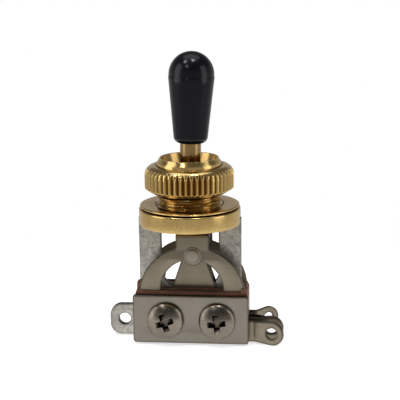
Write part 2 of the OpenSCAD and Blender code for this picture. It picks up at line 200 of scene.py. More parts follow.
def add(name, mesh, sharp=35):
    """Puts a finished mesh into the scene: metres, and smooth except at edges sharper than sharp degrees."""
    mesh.transform(Matrix.Scale(MM, 4))
    mesh.shade_smooth()
    mesh.set_sharp_from_angle(angle=radians(sharp))
    piece = bpy.data.objects.new(name, mesh)
    bpy.context.scene.collection.objects.link(piece)
    return piece


def from_bmesh(name, bm):
    """Closes a bmesh into a mesh whose faces all point outwards."""
    bmesh.ops.recalc_face_normals(bm, faces=bm.faces)
    mesh = bpy.data.meshes.new(name)
    bm.to_mesh(mesh)
    bm.free()
    return mesh


def lathe(name, profile, segments=96, ring=False, radius_at=None):
    """Turns a profile of (radius, height) about Z. A ring's profile is a closed loop.

    radius_at(radius, height, angle) may change the radius from point to point.
    """
    bm = bmesh.new()
    rows = []
    for r, h in profile:
        if r < 1e-6:
            rows.append([bm.verts.new((0, 0, h))] * segments)
            continue
        row = []
        for k in range(segments):
            a = 2 * pi * k / segments
            rr = radius_at(r, h, a) if radius_at else r
            row.append(bm.verts.new((rr * cos(a), rr * sin(a), h)))
        rows.append(row)
    if ring:
        rows.append(rows[0])
    for low, high in zip(rows, rows[1:]):
        for k in range(segments):
            corners = [low[k], low[(k + 1) % segments], high[(k + 1) % segments], high[k]]
            corners = list(dict.fromkeys(corners))
            if len(corners) > 2:
                bm.faces.new(corners)
    return from_bmesh(name, bm)


def plate(name, outline, holes, near, far, edge, gaps=()):
    """A flat plate in front of the middle plane, with rounded edges.

    Its holes are round (x, z, radius), and its gaps are outlines.
    """
    curve = bpy.data.curves.new(name, "CURVE")
    curve.dimensions = "2D"
    curve.fill_mode = "BOTH"
    curve.extrude = (far - near) / 2 - edge
    curve.bevel_depth = edge
    curve.bevel_resolution = 2
    curve.offset = -edge
    for loop in [outline, *gaps] + [arc(x, z, r, 0, 352) for x, z, r in holes]:
        spline = curve.splines.new("POLY")
        spline.points.add(len(loop) - 1)
        spline.use_cyclic_u = True
        for point, (x, z) in zip(spline.points, loop):
            point.co = (x, z, 0, 1)
    drawn = bpy.data.objects.new(name, curve)
    bpy.context.scene.collection.objects.link(drawn)
    bpy.context.view_layer.update()
    mesh = bpy.data.meshes.new_from_object(drawn.evaluated_get(bpy.context.evaluated_depsgraph_get()))
    bpy.data.objects.remove(drawn)
    mesh.transform(Matrix.Translation((0, -(near + far) / 2, 0)) @ Matrix.Rotation(radians(90), 4, "X"))
    bm = bmesh.new()
    bm.from_mesh(mesh)
    bmesh.ops.remove_doubles(bm, verts=bm.verts, dist=1e-4)
    bpy.data.meshes.remove(mesh)
    return from_bmesh(name, bm)


def slice_at(mesh, place, direction, distances):
    """Adds rows of vertices across a mesh, so that it can bend."""
    bm = bmesh.new()
    bm.from_mesh(mesh)
    for d in distances:
        bmesh.ops.bisect_plane(
            bm, geom=bm.verts[:] + bm.edges[:] + bm.faces[:],
            plane_co=Vector(place) + Vector(direction) * d, plane_no=direction,
        )
    bm.to_mesh(mesh)
    bm.free()


def fold(mesh, place, along, up, angle, radius):
    """Bends a sheet about a line through place: what lies ahead, in direction along, turns towards up."""
    place, along, up = Vector(place), Vector(along), Vector(up)
    length = radius * angle
    slice_at(mesh, place, along, [length * k / 6 for k in range(7)])
    for v in mesh.vertices:
        s = (v.co - place).dot(along)
        if s <= 0:
            continue
        lift = (v.co - place).dot(up)
        a = min(s, length) / radius
        rest = max(0.0, s - length)
        new_s = radius * sin(a) - lift * sin(a) + rest * cos(a)
        new_lift = radius * (1 - cos(a)) + lift * cos(a) + rest * sin(a)
        v.co += along * (new_s - s) + up * (new_lift - lift)


def mirrored(mesh, name):
    """The rear twin of a front mesh."""
    twin = mesh.copy()
    twin.name = name
    twin.transform(Matrix.Scale(-1, 4, (0, 1, 0)))
    twin.flip_normals()
    return twin


def cut(mesh, *cutters):
    """Takes the cutters' volumes out of a mesh."""
    piece = bpy.data.objects.new("cut_piece", mesh)
    bpy.context.scene.collection.objects.link(piece)
    tools = []
    for cutter in cutters:
        tool = bpy.data.objects.new("cutter", cutter)
        bpy.context.scene.collection.objects.link(tool)
        tools.append(tool)
        step = piece.modifiers.new("cut", "BOOLEAN")
        step.operation = "DIFFERENCE"
        step.solver = "EXACT"
        step.object = tool
    bpy.context.view_layer.update()
    result = bpy.data.meshes.new_from_object(piece.evaluated_get(bpy.context.evaluated_depsgraph_get()))
    for o in [piece] + tools:
        bpy.data.objects.remove(o)
    result.name = mesh.name
    return result


def brick(low, high):
    """A box-shaped cutter."""
    bm = bmesh.new()
    size = Vector(high) - Vector(low)
    bmesh.ops.create_cube(bm, size=1, matrix=Matrix.Translation((Vector(high) + Vector(low)) / 2)
                          @ Matrix.Diagonal((*size, 1)))
    return from_bmesh("brick", bm)


def rod(radius, low, high, axis="X", at=(0, 0, 0), segments=48):
    """A cylinder along an axis between two places on it."""
    mesh = lathe("rod", [(0, low), (radius, low), (radius, high), (0, high)], segments)
    turn = {"X": Matrix.Rotation(radians(90), 4, "Y"), "Y": Matrix.Rotation(radians(-90), 4, "X"),
            "Z": Matrix.Identity(4)}[axis]
    mesh.transform(Matrix.Translation(at) @ turn)
    return mesh


def upright_to_lean(mesh):
    """Leans a mesh made upright the way the lever leans in the frame."""
    mesh.transform(Matrix.Translation(PIVOT) @ Matrix.Rotation(LEAN, 4, "Y") @ Matrix.Translation(-PIVOT))
    return mesh


# ---------------------------------------------------------------- material helpers

class Nodes:
    """Builds one material's node tree."""

    def __init__(self, name):
        self.material = bpy.data.materials.new(name)
        self.material.use_nodes = True
        self.tree = self.material.node_tree
        self.shader = self.tree.nodes["Principled BSDF"]

    def add(self, kind, settings=None, **inputs):
        """A node of a kind, with its settings, and inputs given as values or as sockets to link."""
        made = self.tree.nodes.new(kind)
        for key, value in (settings or {}).items():
            setattr(made, key, value)
        for key, value in inputs.items():
            self.feed(made.inputs[key.replace("_", " ")], value)
        return made

    def feed(self, socket, value):
        if isinstance(value, bpy.types.NodeSocket):
            self.tree.links.new(value, socket)
        else:
            socket.default_value = value

    def noise(self, scale, detail=4.0, stretch=(1, 1, 1), roughness=0.55):
        """Noise in the object's own coordinates, with scale in features per millimetre."""
        where = self.add("ShaderNodeTexCoord").outputs["Object"]
        placed = self.add("ShaderNodeMapping", Vector=where, Scale=stretch).outputs["Vector"]
        return self.add("ShaderNodeTexNoise", Vector=placed, Scale=scale / MM, Detail=detail,
                        Roughness=roughness).outputs["Fac"]

    def spread(self, value, low, high, start=0.3, end=0.7):
        """Maps a value between start and end to low and high."""
        made = self.add("ShaderNodeMapRange")
        for key, number in (("From Min", start), ("From Max", end), ("To Min", low), ("To Max", high)):
            made.inputs[key].default_value = number
        self.feed(made.inputs["Value"], value)
        return made.outputs["Result"]

    def mix(self, factor, first, second):
        """A mix of two colours."""
        made = self.add("ShaderNodeMix", {"data_type": "RGBA"})
        self.feed(made.inputs["Factor"], factor)
        self.feed(made.inputs[6], first)
        self.feed(made.inputs[7], second)
        return made.outputs[2]

    def bump(self, height, depth, strength=1.0, normal=None):
        """A bump of a depth in millimetres."""
        made = self.add("ShaderNodeBump", Height=height, Distance=depth * MM, Strength=strength)
        if normal:
            self.feed(made.inputs["Normal"], normal)
        return made.outputs["Normal"]

    def sideways(self):
        """Place along the object's own X axis."""
        where = self.add("ShaderNodeTexCoord").outputs["Object"]
        return self.add("ShaderNodeSeparateXYZ", Vector=where).outputs["X"]

    def edges(self, start=0.52, end=0.6):
        """1 on convex edges, and 0 on flat stretches."""
        return self.spread(self.add("ShaderNodeNewGeometry").outputs["Pointiness"], 0, 1, start, end)

    def creases(self, start=0.48, end=0.42):
        """1 in concave creases, and 0 on flat stretches."""
        return self.spread(self.add("ShaderNodeNewGeometry").outputs["Pointiness"], 0, 1, start, end)

    def sheared(self, start=0.5, end=0.85):
        """1 on the sheared edges of sheet that stands in the X-Z plane, and 0 on its faces."""
        normal = self.add("ShaderNodeTexCoord").outputs["Normal"]
        across = self.add("ShaderNodeSeparateXYZ", Vector=normal).outputs["Y"]
        flat = self.add("ShaderNodeMath", {"operation": "ABSOLUTE"})
        self.feed(flat.inputs[0], across)
        return self.spread(flat.outputs["Value"], 1, 0, start, end)

    def borders(self, width, start=0.0, end=0.12):
        """1 within about a width in millimetres of sharp edges, and 0 away from them."""
        rounded = self.add("ShaderNodeBevel", {"samples": 6}, Radius=width * MM).outputs["Normal"]
        flat = self.add("ShaderNodeNewGeometry").outputs["Normal"]
        made = self.add("ShaderNodeVectorMath", {"operation": "DOT_PRODUCT"})
        self.feed(made.inputs[0], rounded)
        self.feed(made.inputs[1], flat)
        return self.spread(made.outputs["Value"], 1, 0, 1 - end, 1 - start)

    def crevices(self, reach, start=0.35, end=0.85, local=True):
        """1 deep inside recesses within reach millimetres, and 0 in the open."""
        made = self.add("ShaderNodeAmbientOcclusion", {"samples": 6, "only_local": local},
                        Distance=reach * MM)
        return self.spread(made.outputs["AO"], 1, 0, start, end)

    def set(self, **inputs):
        for key, value in inputs.items():
            self.feed(self.shader.inputs[key.replace("_", " ")], value)
        return self.material


def rgba(r, g, b):
    return (r, g, b, 1.0)


def gold_plate(name, bright, dull):
    """Polished gold plating over machined brass, with faint turning marks, and painted shade in its creases,
    in its recesses and where nearby parts hide it.
    """
    n = Nodes(name)
    blotch = n.spread(n.noise(0.35, 3), 0, 1)
    colour = n.mix(blotch, bright, dull)
    # Painted shade: darker brown in concave creases.
    colour = n.mix(n.creases(), colour, rgba(0.46, 0.24, 0.06))
    # Painted shade: darker where other parts within 8 mm hide the surface, as ambient occlusion.
    colour = n.mix(n.spread(n.crevices(8, 0.15, 0.7, False), 0, 0.8, 0, 1), colour, rgba(0.26, 0.14, 0.04))
    # Painted shade: darkest in the bottoms of small recesses, such as the knurl's grooves.
    colour = n.mix(n.spread(n.crevices(0.6, 0.45, 0.85), 0, 0.8, 0, 1), colour, rgba(0.20, 0.10, 0.025))
    rough = n.spread(n.noise(2.2, 6), 0.13, 0.24)
    turned = n.noise(1.2, 3, stretch=(0.15, 0.15, 9.0))
    normal = n.bump(turned, 0.003, 0.3, n.bump(n.noise(3, 3), 0.003, 0.25))
    return n.set(Base_Color=colour, Metallic=1.0, Roughness=rough, Normal=normal)


def nickel(name, bright, dull, grain, rough_low, rough_high, depth=0.004, edge_dark=0.0, pit_dark=0.0):
    """Nickel-like plating whose rolling marks run the way that grain is stretched.

    edge_dark paints shade along sheared edges and pit_dark paints shade in the bottoms of recesses, from 0 to
    1.
    """
    n = Nodes(name)
    # Colour of the painted shade on edges and in recesses.
    painted_shade = rgba(0.035, 0.028, 0.022)
    blotch = n.spread(n.noise(0.28, 5), 0, 1)
    colour = n.mix(blotch, bright, dull)
    specks = n.spread(n.noise(3.5, 3), 0, 0.6, 0.68, 0.76)
    colour = n.mix(specks, colour, tuple(c * 0.5 for c in dull[:3]) + (1.0,))
    if edge_dark:
        # Painted shade along the edges: a thin band near them, and the sheared edge faces themselves.
        colour = n.mix(n.spread(n.borders(0.5, 0, 0.04), 0, edge_dark, 0, 1), colour, painted_shade)
        colour = n.mix(n.spread(n.sheared(), 0, edge_dark, 0, 1), colour, painted_shade)
    if pit_dark:
        # Painted shade in the bottoms of recesses, as ambient occlusion.
        colour = n.mix(n.spread(n.crevices(1.4, 0.55, 0.95), 0, pit_dark, 0, 1), colour, painted_shade)
    marks = n.noise(2.0, 4, stretch=grain)
    rough = n.spread(marks, rough_low, rough_high)
    normal = n.bump(marks, depth, 0.5, n.bump(n.noise(7, 4), 0.004, 0.4))
    return n.set(Base_Color=colour, Metallic=1.0, Roughness=rough, Normal=normal)


def tumbled_plate():
    """Dull, finely pitted plating of the thick frame, with painted shade along its sheared edges and over its
    ground lug, darkest at the lug's end.
    """
    n = Nodes("tumbled_plate")
    colour = n.mix(n.spread(n.noise(1.1, 6, roughness=0.7), 0, 1, 0.38, 0.62),
                   rgba(0.62, 0.595, 0.535), rgba(0.39, 0.375, 0.33))
    pits = n.spread(n.noise(2.6, 4), 0, 0.75, 0.56, 0.68)
    colour = n.mix(pits, colour, rgba(0.24, 0.23, 0.205))
    # Painted shade: darker across the ground lug towards its end.
    colour = n.mix(n.spread(n.sideways(), 0.6, 0, FRAME_LOW.x * MM, -FRAME_HIGH.x * MM), colour,
                   rgba(0.20, 0.19, 0.17))
    # Painted shade along the edges: a thin band near them, and the sheared edge faces themselves.
    colour = n.mix(n.spread(n.borders(0.45, 0, 0.05), 0, 0.8, 0, 1), colour, rgba(0.06, 0.055, 0.05))
    colour = n.mix(n.spread(n.sheared(0.55, 0.95), 0, 0.85, 0, 1), colour, rgba(0.06, 0.055, 0.05))
    rough = n.spread(n.noise(2.5, 5), 0.34, 0.5)
    normal = n.bump(pits, 0.03, 0.6, n.bump(n.noise(2.4, 5), 0.03, 0.5))
    return n.set(Base_Color=colour, Metallic=1.0, Roughness=rough, Normal=normal)


def black_plastic():
    """Moulded black plastic: a soft gloss, faint flow marks and dust."""
    n = Nodes("black_plastic")
    dust = n.spread(n.noise(6, 2), 0, 0.5, 0.70, 0.78)
    colour = n.mix(dust, rgba(0.0042, 0.0045, 0.0075), rgba(0.02, 0.02, 0.024))
    rough = n.spread(n.noise(0.8, 5), 0.17, 0.24)
    normal = n.bump(n.noise(1.4, 4), 0.01, 0.25, n.bump(n.noise(9, 3), 0.003, 0.3))
    return n.set(Base_Color=colour, Roughness=rough, Normal=normal, IOR=1.33)


def laminate():
    """Resin-bonded paper board: red-brown, layered and rough where it is sawn."""
    n = Nodes("laminate")
    layers = n.noise(0.8, 4, stretch=(0.25, 9.0, 0.6))
    colour = n.mix(n.spread(layers, 0, 1, 0.35, 0.65), rgba(0.175, 0.066, 0.036), rgba(0.07, 0.033, 0.022))
    fibres = n.noise(1.6, 5, stretch=(0.3, 3.0, 1.0))
    colour = n.mix(n.spread(fibres, 0, 0.75, 0.58, 0.72), colour, rgba(0.26, 0.13, 0.07))
    colour = n.mix(n.edges(0.51, 0.58), colour, rgba(0.24, 0.095, 0.05))
    rough = n.spread(fibres, 0.42, 0.62)
    normal = n.bump(fibres, 0.05, 0.6, n.bump(layers, 0.03, 0.5))
    return n.set(Base_Color=colour, Roughness=rough, Normal=normal)


def plain_plastic(name, light, dark, rough_low, rough_high):
    """Turned or extruded plastic of the small hidden pieces."""
    n = Nodes(name)
    colour = n.mix(n.spread(n.noise(0.6, 4), 0, 1), light, dark)
    rings = n.noise(1.0, 3, stretch=(8.0, 0.4, 0.4))
    normal = n.bump(rings, 0.01, 0.4)
    return n.set(Base_Color=colour, Roughness=n.spread(rings, rough_low, rough_high), Normal=normal,
                 Subsurface_Weight=0.08, Subsurface_Scale=MM)


GOLD = gold_plate("gold_plate", rgba(0.715, 0.51, 0.205), rgba(0.635, 0.435, 0.16))
# Painted shade: a darker copy of the gold plating for the lever's bar and fork, standing in for their shade
# and dark reflections.
LEVER_GOLD_PAINTED_SHADE = gold_plate("lever_gold_painted_shade", rgba(0.46, 0.32, 0.14), rgba(0.34, 0.22, 0.09))
# edge_dark and pit_dark below paint shade along the edges and in the recesses.
LEAF = nickel("leaf_nickel", rgba(0.245, 0.212, 0.158), rgba(0.205, 0.177, 0.13), (0.5, 0.5, 6.0), 0.30, 0.42,
              edge_dark=0.9)
CLAMP = nickel("clamp_nickel", rgba(0.215, 0.195, 0.165), rgba(0.19, 0.17, 0.142), (0.4, 0.4, 4.0),
               0.26, 0.38, edge_dark=0.8)
SCREW = nickel("screw_nickel", rgba(0.235, 0.205, 0.17), rgba(0.165, 0.142, 0.115), (1, 1, 1), 0.2, 0.34,
               pit_dark=0.95)
CONTACT = nickel("contact_silver", rgba(0.27, 0.24, 0.19), rgba(0.21, 0.185, 0.145), (1, 1, 1), 0.26, 0.4,
                 pit_dark=0.6)
PIN = nickel("pin_steel", rgba(0.58, 0.56, 0.52), rgba(0.48, 0.46, 0.43), (8, 0.5, 0.5), 0.2, 0.35)
PLATED_FRAME = tumbled_plate()
BLACK = black_plastic()
LAMINATE = laminate()
NYLON = plain_plastic("nylon", rgba(0.74, 0.71, 0.62), rgba(0.62, 0.58, 0.48), 0.35, 0.5)
SLEEVE = plain_plastic("sleeve", rgba(0.70, 0.64, 0.46), rgba(0.56, 0.50, 0.34), 0.4, 0.55)


def dress(piece, material, slot, body, *nodes):
    """Gives a piece its material, its body and the CAD nodes that it stands for."""
    piece.data.materials.clear()
    piece.data.materials.append(material)
    if body:
        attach(piece, body)
    if nodes:
        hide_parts(*nodes)
    return piece


# ---------------------------------------------------------------- lever

def make_tip():
    """Tapered tip with a domed top, a fine step at its widest and a rounded foot."""
    foot_z = 11.2
    foot_r = 3.1
    foot_round = 1.15
    dome_r = TIP_R - 0.06
    seam_z = DOME_Z - 0.35
    profile = [(0, DOME_Z + TIP_R)]
    profile += [(dome_r * sin(radians(a)), DOME_Z + TIP_R * cos(radians(a))) for a in range(4, 90, 4)]
    profile += [(dome_r, DOME_Z), (dome_r, seam_z + 0.05), (TIP_R - 0.02, seam_z), (TIP_R, seam_z - 0.06)]
    side_foot = foot_z + foot_round
    profile += [(TIP_R + (foot_r - TIP_R) * k / 12, seam_z - 0.06 + (side_foot - seam_z + 0.06) * k / 12)
                for k in range(1, 12)]
    profile += arc(foot_r - foot_round, side_foot, foot_round, 0, -90)
    bore = SHAFT_R + 0.02
    profile += [(bore + 0.1, foot_z), (bore, foot_z + 0.08), (bore, foot_z + 2), (0, foot_z + 2)]
    tip = add("tip", upright_to_lean(lathe("tip", profile, 128)), 50)
    return dress(tip, BLACK, "tip_plastic", "lever", "lever_tip")


def make_shaft():
    """Polished bar, ball and fork."""
    fork_half = 1.1
    slot_half = 0.8
    axis_z = (ROLLER_LOW.z + ROLLER_HIGH.z) / 2
    fork_foot = axis_z - fork_half
    neck = -3.4
    bar = add("lever_bar", upright_to_lean(
        lathe("lever_bar", [(0, PIVOT.z), (SHAFT_R, PIVOT.z), (SHAFT_R, 12.9), (0, 12.9)], 96)), 30)
    dress(bar, LEVER_GOLD_PAINTED_SHADE, "gold", "lever", "lever_shaft")
    ball = [(SHAFT_R * sin(radians(a)), PIVOT.z + SHAFT_R * cos(radians(a))) for a in range(10, 91, 8)]
    fork = lathe("fork", [(0, PIVOT.z + SHAFT_R - 0.02)] + ball +
                 [(SHAFT_R, neck), (SHAFT_R - 0.1, fork_foot), (0, fork_foot)], 96)
    sides = [brick((-4, s * fork_half, fork_foot - 1) if s > 0 else (-4, -4, fork_foot - 1),
                   (4, 4, neck) if s > 0 else (4, -fork_half, neck)) for s in (-1, 1)]
    slot = brick((-slot_half, -4, fork_foot - 1), (slot_half, 4, ROLLER_HIGH.z + 0.25))
    fork = cut(fork, *sides, slot, rod(0.45, -4, 4, "X", (0, 0, axis_z), 32))
    fork = add("lever_fork", fork, 30)
    return dress(fork, LEVER_GOLD_PAINTED_SHADE, "gold", "lever")


def make_roller():
    """Nylon roller with rounded rims, and its pin."""
    axis_z = (ROLLER_LOW.z + ROLLER_HIGH.z) / 2
    radius = (ROLLER_HIGH.z - ROLLER_LOW.z) / 2
    half = ROLLER_HIGH.x
    loop = fillet([(0.48, -half, 0.08), (radius, -half, 0.25), (radius, half, 0.25), (0.48, half, 0.08)])
    mesh = lathe("roller", loop, 64, ring=True)
    mesh.transform(Matrix.Translation((0, 0, axis_z)) @ Matrix.Rotation(radians(90), 4, "Y"))
    dress(add("roller", mesh, 40), NYLON, "nylon", "roller", "actuator_roller")
    pin = rod(0.45, -1.7, 1.7, "X", (0, 0, axis_z), 32)
    dress(add("roller_axle", pin, 40), PIN, "pin_steel", "lever", "roller_pin")


# ---------------------------------------------------------------- bushing, nut and washer

PITCH = 1.0
THREAD_DEPTH = 0.42


def thread_wave(phase):
    """Depth of the thread, 0 at a crest and 1 at a root, at a phase from 0 to 1."""
    phase = phase % 1.0
    return max(0.0, min(1.0, 2.6 * min(phase, 1 - phase) - 0.12))


def make_bushing():
    """Threaded bushing: flange with let-in frame legs, rolled thread, plain cone and dished mouth."""
    rim_z, foot_z = BUSH_HIGH.z, BUSH_LOW.z
    flange_r = BUSH_HIGH.x
    flange_top = WASHER_LOW.z
    thread_top = 7.0
    rim_r = 5.4
    mouth_r = 5.08
    outside = fillet([(2.9, foot_z, 0), (flange_r, foot_z, 0.08), (flange_r, flange_top, 0.25),
                      (THREAD_R + 0.4, flange_top, 0), (THREAD_R - 0.3, flange_top, 0.1)], closed=False)[:-1]
    rows = 72
    thread_foot = flange_top + 0.12
    thread = [(THREAD_R, thread_foot + (thread_top - thread_foot) * k / rows) for k in range(rows + 1)]
    cone = fillet([(THREAD_R - 0.12, thread_top + 0.04, 0), (THREAD_R - 0.18, thread_top + 0.75, 0.1),
                   (rim_r, rim_z - 0.12, 0.2), (rim_r - 0.05, rim_z, 0.05), (mouth_r, rim_z, 0.1),
                   (mouth_r - 0.12, rim_z - 0.5, 0.4), (4.45, 6.6, 0.6), (2.45, PIVOT.z + 0.3, 0.5),
                   (2.95, foot_z, 0)], closed=False)

    def radius_at(r, h, a):
        if not (abs(r - THREAD_R) < 1e-6 and flange_top < h < thread_top + 0.01):
            return r
        fade = min(1.0, (thread_top - h) / 0.35, (h - flange_top) / 0.35)
        return r - THREAD_DEPTH * max(0.0, fade) * thread_wave(h / PITCH - a / (2 * pi))

    body = lathe("bushing", outside + thread + cone, 144, ring=True, radius_at=radius_at)
    notches = [brick((min(s * WINDOW_HALF, s * 12), FRAME_LOW.y, foot_z - 1),
                     (max(s * WINDOW_HALF, s * 12), FRAME_HIGH.y, FRAME_HIGH.z)) for s in (-1, 1)]
    body = cut(body, *notches, rod(0.6, -12, 12, "X", (0, 0, PIVOT.z), 32))
    dress(add("bushing_body", body, 30), GOLD, "gold", "housing", "bushing")
    pin = rod(0.6, -flange_r + 0.25, flange_r - 0.25, "X", (0, 0, PIVOT.z), 32)
    dress(add("pivot_axle", pin, 40), PIN, "pin_steel", "housing", "pivot_pin")


TEETH = 49


def make_nut():
    """Round nut: plain faces, and a straight knurl that runs out on the rounded shoulder."""
    low, high, r = NUT_LOW.z, NUT_HIGH.z, NUT_HIGH.x
    bore = THREAD_R + 0.05
    root = r - 0.55
    loop = fillet([(bore, low, 0.2), (6.8, low, 0.12), (r, low + 0.8, 0.06), (r, high, 1.68),
                   (bore, high, 0.25)])
    dense = []
    for (r0, h0), (r1, h1) in zip(loop, loop[1:] + loop[:1]):
        steps = max(1, ceil(((r1 - r0) ** 2 + (h1 - h0) ** 2) ** 0.5 / 0.2)) if r0 > 6.5 else 1
        dense += [(r0 + (r1 - r0) * k / steps, h0 + (h1 - h0) * k / steps) for k in range(steps)]

    def radius_at(radius, h, a):
        wave = abs((a * TEETH / (2 * pi)) % 1.0 - 0.5) * 2
        knurl = root + (r - root) * max(0.0, min(1.0, 1.45 * wave - 0.1))
        return min(radius, max(knurl, 6.0))

    nut = lathe("nut", dense, TEETH * 10, ring=True, radius_at=radius_at)
    dress(add("panel_nut", nut, 40), GOLD, "gold", "nut", "knurled_nut")


def make_washer():
    """Thin stamped washer with rolled edges, loose on the thread."""
    top, r = WASHER_HIGH.z, WASHER_HIGH.x
    thick = 0.34
    bore = 6.25
    loop = fillet([(bore, top - thick, 0.1), (r - 0.1, top - thick, 0.18), (r, top - 0.1, 0.1),
                   (r - 0.25, top, 0.12), (bore, top, 0.12)])
    dress(add("panel_washer", lathe("washer", loop, 128, ring=True), 40), GOLD, "gold", "housing", "washer")


# ---------------------------------------------------------------- frame and stack

def stack_holes(radius):
    return [(STACK_X + side * SCREW_REACH, SCREW_Z, radius) for side in (-1, 1)]


def make_frame():
    """Thick flat frame: foot, two legs let into the flange, and the ground lug."""
    half = FRAME_HIGH.x
    outline = fillet([
        (FRAME_LOW.x, STACK_FOOT, 2.0), (half, STACK_FOOT, 0.3), (half, FRAME_HIGH.z, 0.15),
        (WINDOW_HALF, FRAME_HIGH.z, 0.15), (WINDOW_HALF, WINDOW_FOOT, WINDOW_R),
        (-WINDOW_HALF, WINDOW_FOOT, WINDOW_R), (-WINDOW_HALF, FRAME_HIGH.z, 0.15),
        (-half, FRAME_HIGH.z, 0.15), (-half, GROUND_LUG_TOP, 0.25), (FRAME_LOW.x, GROUND_LUG_TOP, 2.2),
    ])
    mesh = plate("frame_plate", outline, stack_holes(STACK_HOLE_R) + [(*GROUND_LUG_HOLE, LUG_HOLE_R)],
                 -FRAME_FACE, FRAME_FACE, 0.16)
    dress(add("frame_plate", mesh), PLATED_FRAME, "frame_metal", "housing", "frame")


def clamp_mesh(name, low, high, hole_r):
    """A clamp plate with softly rolled edges, in front of the middle plane."""
    corners = [(low.x, low.z, 0.55), (high.x, low.z, 0.5), (high.x, high.z, 0.35), (low.x, high.z, 0.45)]
    return plate(name, fillet(corners), stack_holes(hole_r), CLAMP_IN, CLAMP_OUT, 0.14)


def make_clamps():
    front = clamp_mesh("front_clamp", CLAMP_LOW, CLAMP_HIGH, 1.8)
    rear = mirrored(clamp_mesh("rear_clamp", REAR_CLAMP_LOW, REAR_CLAMP_HIGH, 1.7), "rear_clamp")
    dress(add("front_clamp", front), CLAMP, "nickel", "housing", "front_clamp_plate")
    dress(add("rear_clamp", rear), CLAMP, "nickel", "housing", "rear_clamp_plate")


def roughen(mesh, amount, scale, seed):
    """Moves a mesh's vertices a little in the sheet's plane, as a saw leaves it."""
    for v in mesh.vertices:
        p = v.co * scale + Vector((seed, 0, 0))
        v.co.x += amount * noise.noise(p)
        v.co.z += amount * noise.noise(p + Vector((0, 31.7, 0)))


def make_insulator(name, near, far, node, rear, seed):
    """A layer of laminate with slightly ragged edges, and a round ear where the CAD layer has one."""
    low, high = box_mm(node)
    top = STACK_TOP - 0.2
    ear_r = 0.6
    round_r = 1.1 if rear else 0.3
    steps = 26
    left, right = BOARD_LOW.x, BOARD_HIGH.x
    foot = [(left + (right - left) * k / steps, STACK_FOOT) for k in range(steps + 1)]
    crest = [(right - 1.3 - (right - left - 2.6) * k / steps, top) for k in range(steps + 1)]
    right_end = arc(right - round_r, top - round_r, round_r, 0, 90)
    left_end = arc(left + round_r, top - round_r, round_r, 90, 180)
    ear_z = high.z - ear_r
    if high.x > right + 0.01:
        right_end = [(right, top - 1.2), (high.x, top - 0.6)] + arc(high.x - ear_r, ear_z, ear_r, 0, 180)
    if low.x < left - 0.01:
        left_end = arc(low.x + ear_r, ear_z, ear_r, 0, 180) + [(low.x, top - 0.6), (left, top - 1.2)]
    outline = foot + right_end + crest + left_end
    mesh = plate(name, outline, stack_holes(STACK_HOLE_R), near, far, 0.05)
    roughen(mesh, 0.07, 0.9, seed)
    if rear:
        mesh = mirrored(mesh, name)
    dress(add(name, mesh, 45), LAMINATE, "laminate", "housing", node)


def make_insulators():
    layers = [("outer_insulator", LEAF_OUT, CLAMP_IN), ("spacer", FIXED_OUT, LEAF_IN),
              ("frame_insulator", FRAME_FACE, FIXED_IN)]
    for k, (kind, near, far) in enumerate(layers):
        for side in ("front", "rear"):
            rear = side == "rear"
            make_insulator(f"{side}_{kind}_board", near, far, f"{side}_{kind}", rear, 7.3 * k + rear)


def screw_mesh(name, turn):
    """Domed cross-recess screw, made with its head towards +Z and its seat at height 0."""
    head_h = -SCREW_LOW.y - CLAMP_OUT
    shank_r = 1.7
    end = SCREW_HIGH.y
    rim = 0.75
    cap_h = head_h - rim
    ball = (SCREW_R ** 2 + cap_h ** 2) / (2 * cap_h)
    cap = [(ball * sin(a), head_h - ball + ball * cos(a)) for a in
           [asin((SCREW_R - 0.18) / ball) * k / 12 for k in range(12, 0, -1)]]
    profile = [(0, -CLAMP_OUT - end), (shank_r - 0.25, -CLAMP_OUT - end), (shank_r, -CLAMP_OUT - end + 0.25),
               (shank_r, 0.02), (SCREW_R - 0.15, 0.02), (SCREW_R, 0.2), (SCREW_R, rim - 0.12)]
    profile += cap + [(0, head_h)]
    body = lathe(name, profile, 72)
    arm, width, deep = 2.1, 0.62, 1.35
    cutters = []
    for a in (turn, turn + 90):
        bm = bmesh.new()
        bmesh.ops.create_cube(bm, size=2)
        for v in bm.verts:
            flare = 1.0 if v.co.z > 0 else 0.45
            v.co = Vector((v.co.x * arm * flare, v.co.y * width * (1.0 if v.co.z > 0 else 0.6),
                           head_h + 0.3 if v.co.z > 0 else head_h - deep))
        wedge = from_bmesh("wedge", bm)
        wedge.transform(Matrix.Rotation(radians(a), 4, "Z"))
        cutters.append(wedge)
    body = cut(body, *cutters)
    bm = bmesh.new()
    bm.from_mesh(body)
    rims = [e for e in bm.edges if e.is_manifold and e.calc_face_angle(0) > radians(38)
            and all(v.co.z > head_h - 0.75 and v.co.xy.length < arm + 0.3 for v in e.verts)]
    bmesh.ops.bevel(bm, geom=rims, offset=0.09, segments=2, affect="EDGES", profile=0.6, clamp_overlap=True)
    return from_bmesh(name, bm)


def make_screws():
    for side, label, turn in ((-1, "left", 18), (1, "right", 7)):
        mesh = screw_mesh(f"{label}_screw", turn)
        place = Matrix.Translation((STACK_X + side * SCREW_REACH, -CLAMP_OUT, SCREW_Z))
        mesh.transform(place @ Matrix.Rotation(radians(90), 4, "X"))
        dress(add(f"{label}_screw", mesh, 32), SCREW, "nickel", "housing", f"{label}_clamp_screw")
        walls = [(1.76, -CLAMP_IN), (2.14, -CLAMP_IN), (2.14, CLAMP_IN), (1.76, CLAMP_IN)]
        tube = lathe("sleeve", walls, 48, ring=True)
        place = Matrix.Translation((STACK_X + side * SCREW_REACH, 0, SCREW_Z))
        tube.transform(place @ Matrix.Rotation(radians(90), 4, "X"))
        dress(add(f"{label}_sleeve", tube, 40), SLEEVE, "sleeve_plastic", "housing", f"{label}_screw_sleeve")


# ---------------------------------------------------------------- leaves

